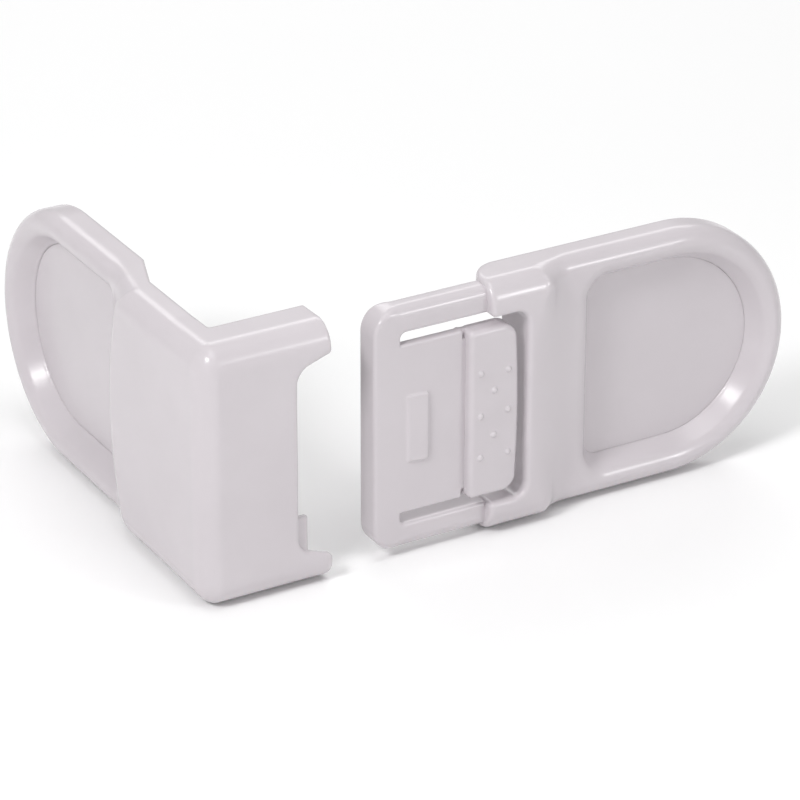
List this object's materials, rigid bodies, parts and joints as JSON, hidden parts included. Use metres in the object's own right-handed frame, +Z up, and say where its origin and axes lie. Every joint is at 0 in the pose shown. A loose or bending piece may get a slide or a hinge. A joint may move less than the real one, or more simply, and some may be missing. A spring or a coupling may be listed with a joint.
{
  "type": "corner safety latch",
  "caption": "Two-part adhesive child-safety latch for a cabinet corner: an L-shaped keeper and a sliding tongue with a thumb release on a paddle plate.",
  "frame": {"origin": "centre of the round end of the keeper's adhesive face, on that face, at half the latch's height", "axes": "+X along the door front from the keeper to the latch, +Y back into the cabinet, +Z up"},
  "size_m": [0.1251, 0.0898, 0.0508],
  "materials": {
    "shell": "gloss moulded, warm white",
    "inlay": "gloss moulded, warm white",
    "tongue": "gloss moulded, warm white",
    "button": "gloss moulded, warm white",
    "plate": "matt moulded",
    "foam": "closed-cell foam tape",
    "screw": "zinc plated"
  },
  "bodies": {
    "keeper": {"keeper_shell": "shell", "keeper_inlay": "inlay", "keeper_back_plate": "plate", "keeper_corner_plate": "plate", "keeper_adhesive_pad": "foam", "keeper_plate_screws": "screw", "keeper_corner_screws": "screw"},
    "latch": {"latch_shell": "shell", "latch_inlay": "inlay", "latch_back_plate": "plate", "latch_adhesive_pad": "foam", "latch_plate_screws": "screw", "tongue_screws": "screw", "tongue_frame": "tongue"},
    "release_tab": {"release_plate": "tongue", "thumb_button": "button"}
  },
  "joints": [
    {"name": "tongue_slide", "type": "slide", "parent": "keeper", "child": "latch", "axis": [-1, 0, 0], "range_m": [0, 0.0326]},
    {"name": "button_press", "type": "hinge", "parent": "latch", "child": "release_tab", "pos_m": [0.03065, -0.0616, 0], "axis": [0, 0, 1], "range_deg": [0, 7], "stiffness_Nm_per_rad": 1.1}
  ]
}
